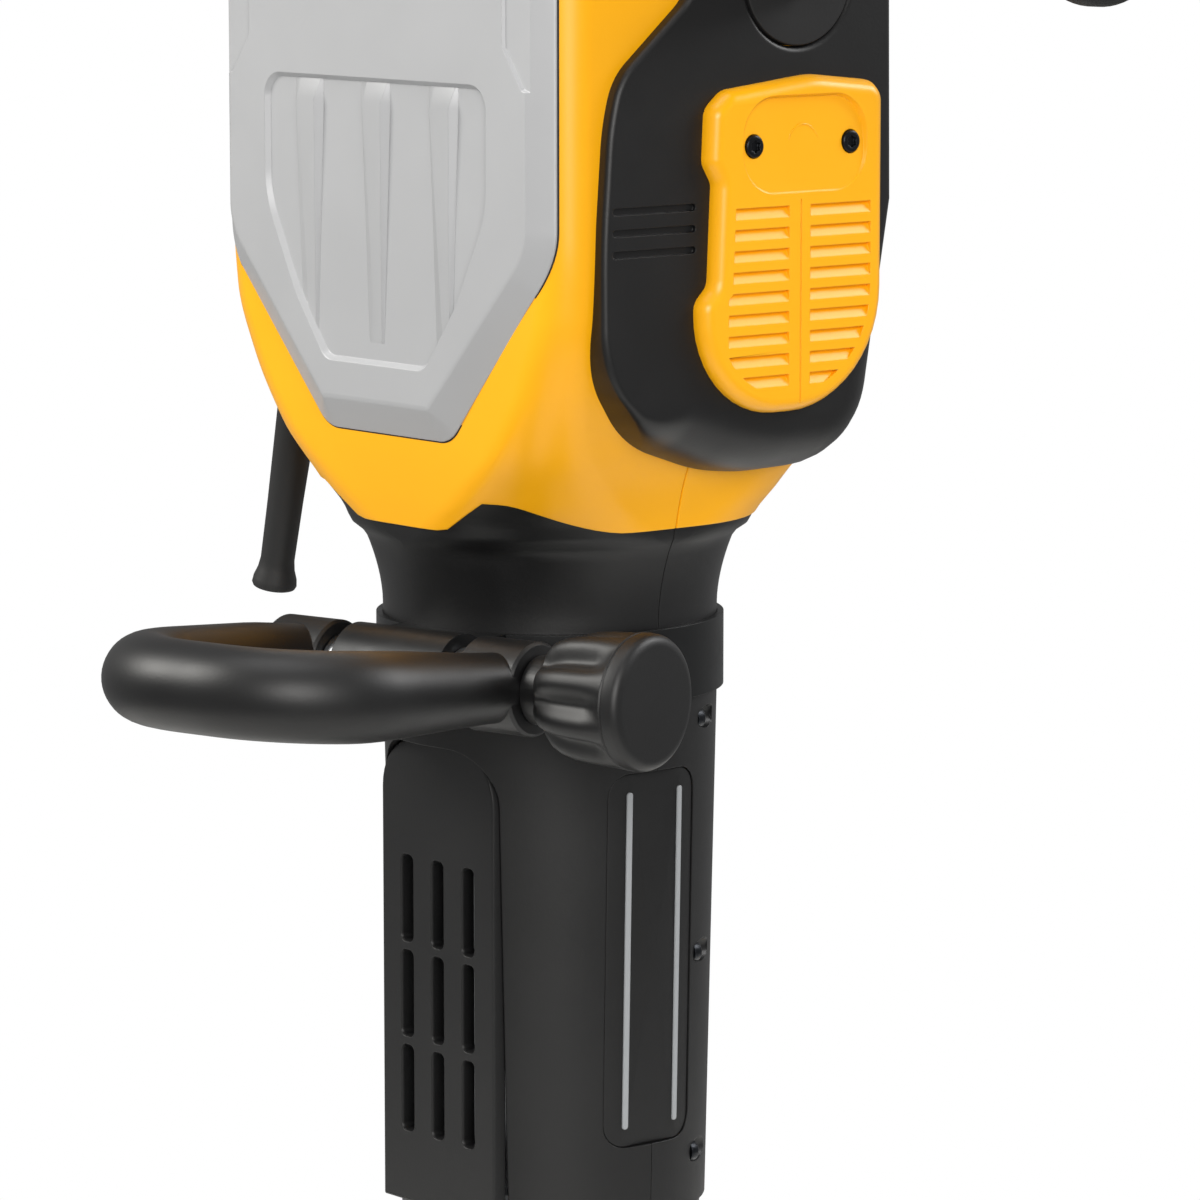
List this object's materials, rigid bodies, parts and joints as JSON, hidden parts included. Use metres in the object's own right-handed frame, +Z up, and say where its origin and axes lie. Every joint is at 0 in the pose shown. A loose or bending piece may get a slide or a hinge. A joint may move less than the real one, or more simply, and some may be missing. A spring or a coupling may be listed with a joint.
{
  "type": "demolition hammer",
  "caption": "Upright electric demolition hammer with damped side grips, a clamped loop handle, crank-driven hammer mechanism and hexagonal tool socket.",
  "frame": {"origin": "centre of the tool socket mouth, on the hammer axis", "axes": "+Z up the hammer axis towards the motor, -Y the front with the cover plate, +X the side with the clamp knob"},
  "size_m": [0.544, 0.2897, 0.828],
  "materials": {
    "yellow_plastic": "satin glass-filled nylon",
    "black_plastic": "fine grained moulding",
    "silver_plastic": "satin metallic paint",
    "soft_grip": "over-moulded elastomer",
    "black_rubber": "moulded",
    "red_plastic": "moulded",
    "black_screws": "black oxide",
    "black_steel": "powder coated",
    "zinc_steel": "zinc plated",
    "forged_steel": "forged and phosphated",
    "ground_steel": "ground",
    "gear_steel": "hardened",
    "cast_aluminium": "die cast",
    "copper": "turned",
    "laminations": "varnished stack",
    "carbon": "pressed carbon",
    "label_grey": "printed film"
  },
  "bodies": {
    "housing": {"front_housing": "yellow_plastic", "rear_housing": "yellow_plastic", "housing_screws": "black_screws", "front_cover_plate": "silver_plastic", "top_cap": "black_plastic", "top_cap_screws": "black_screws", "right_side_panel": "black_plastic", "left_side_panel": "black_plastic", "right_vent_cover": "yellow_plastic", "left_vent_cover": "yellow_plastic", "vent_cover_screws": "black_screws", "barrel_front_shell": "black_plastic", "barrel_rear_shell": "black_plastic", "barrel_screws": "black_screws", "label_plates": "label_grey", "handle_pivot_pins": "zinc_steel", "handle_boots": "black_rubber", "switch_module": "black_plastic", "electronics_module": "black_plastic", "cord_guard": "black_rubber", "cord_clamp": "black_plastic", "tool_holder": "forged_steel", "nose_bolts": "zinc_steel", "latch_bolts": "zinc_steel", "gear_case": "cast_aluminium", "cylinder_housing": "cast_aluminium", "hammer_cylinder": "ground_steel", "striker_guide": "gear_steel", "crank_bearings": "ground_steel", "intermediate_bearings": "ground_steel", "motor_stator": "laminations", "armature_bearings": "ground_steel", "brush_holders": "black_plastic", "carbon_brushes": "carbon"},
    "side_clamp": {"clamp_strap": "black_steel", "clamp_block": "black_steel", "clamp_bolt": "zinc_steel"},
    "side_handle": {"side_handle": "black_plastic"},
    "clamp_knob": {"clamp_knob": "black_plastic"},
    "right_handle": {"right_handle_arm": "black_plastic", "right_grip": "soft_grip"},
    "left_handle": {"left_handle_arm": "black_plastic", "left_grip": "soft_grip"},
    "trigger": {"trigger": "red_plastic"},
    "lock_button": {"lock_button": "red_plastic"},
    "tool_latch": {"tool_latch": "forged_steel"},
    "crankshaft": {"crankshaft": "gear_steel", "crank_gear": "gear_steel"},
    "intermediate_shaft": {"intermediate_shaft": "gear_steel"},
    "armature": {"armature": "laminations", "commutator": "copper", "motor_pinion": "gear_steel", "cooling_fan": "black_plastic"},
    "piston": {"piston": "ground_steel", "piston_seals": "black_rubber", "wrist_pin": "ground_steel", "connecting_rod": "gear_steel"},
    "ram": {"ram": "ground_steel"},
    "striker": {"striker": "ground_steel"}
  },
  "joints": [
    {"name": "side_clamp_swivel", "type": "hinge", "parent": "housing", "child": "side_clamp", "pos_m": [0, 0, 0.357], "axis": [0, 0, 1], "range_deg": [-30, 150]},
    {"name": "side_handle_swing", "type": "hinge", "parent": "side_clamp", "child": "side_handle", "pos_m": [0.02056, -0.08248, 0.357], "axis": [0.9703, 0.2419, 0], "range_deg": [-55, 90]},
    {"name": "clamp_knob_turn", "type": "hinge", "parent": "side_clamp", "child": "clamp_knob", "pos_m": [0.02056, -0.08248, 0.357], "axis": [0.9703, 0.2419, 0], "continuous": true},
    {"name": "right_handle_damping", "type": "hinge", "parent": "housing", "child": "right_handle", "pos_m": [0.101, 0.028, 0.607], "axis": [0, 1, 0], "range_deg": [-3, 3], "stiffness_Nm_per_rad": 400},
    {"name": "left_handle_damping", "type": "hinge", "parent": "housing", "child": "left_handle", "pos_m": [-0.101, 0.028, 0.607], "axis": [0, -1, 0], "range_deg": [-3, 3], "stiffness_Nm_per_rad": 400},
    {"name": "trigger_squeeze", "type": "hinge", "parent": "left_handle", "child": "trigger", "pos_m": [-0.176, 0.018, 0.617], "axis": [0, 1, 0], "range_deg": [0, 5], "stiffness_Nm_per_rad": 2, "springref_deg": -8.59},
    {"name": "lock_button_press", "type": "slide", "parent": "left_handle", "child": "lock_button", "axis": [0, 1, 0], "range_m": [0, 0.003], "stiffness_N_per_m": 800, "springref_m": -0.002},
    {"name": "tool_latch_swing", "type": "hinge", "parent": "housing", "child": "tool_latch", "pos_m": [0, 0, 0.04], "axis": [-1, 0, 0], "range_deg": [0, 80]},
    {"name": "crank_spin", "type": "hinge", "parent": "housing", "child": "crankshaft", "pos_m": [0, 0, 0.5], "axis": [1, 0, 0], "continuous": true},
    {"name": "intermediate_spin", "type": "hinge", "parent": "housing", "child": "intermediate_shaft", "pos_m": [0, 0, 0.565], "axis": [1, 0, 0], "continuous": true},
    {"name": "armature_spin", "type": "hinge", "parent": "housing", "child": "armature", "pos_m": [0, 0, 0.6025], "axis": [1, 0, 0], "continuous": true},
    {"name": "piston_slide", "type": "slide", "parent": "housing", "child": "piston", "axis": [0, 0, 1], "range_m": [0, 0.06]},
    {"name": "ram_slide", "type": "slide", "parent": "housing", "child": "ram", "axis": [0, 0, 1], "range_m": [0, 0.045]},
    {"name": "striker_slide", "type": "slide", "parent": "housing", "child": "striker", "axis": [0, 0, 1], "range_m": [0, 0.012]}
  ],
  "couplings": [
    {"joint": "intermediate_spin", "follows": "crank_spin", "ratio": -4},
    {"joint": "armature_spin", "follows": "crank_spin", "ratio": 21}
  ]
}
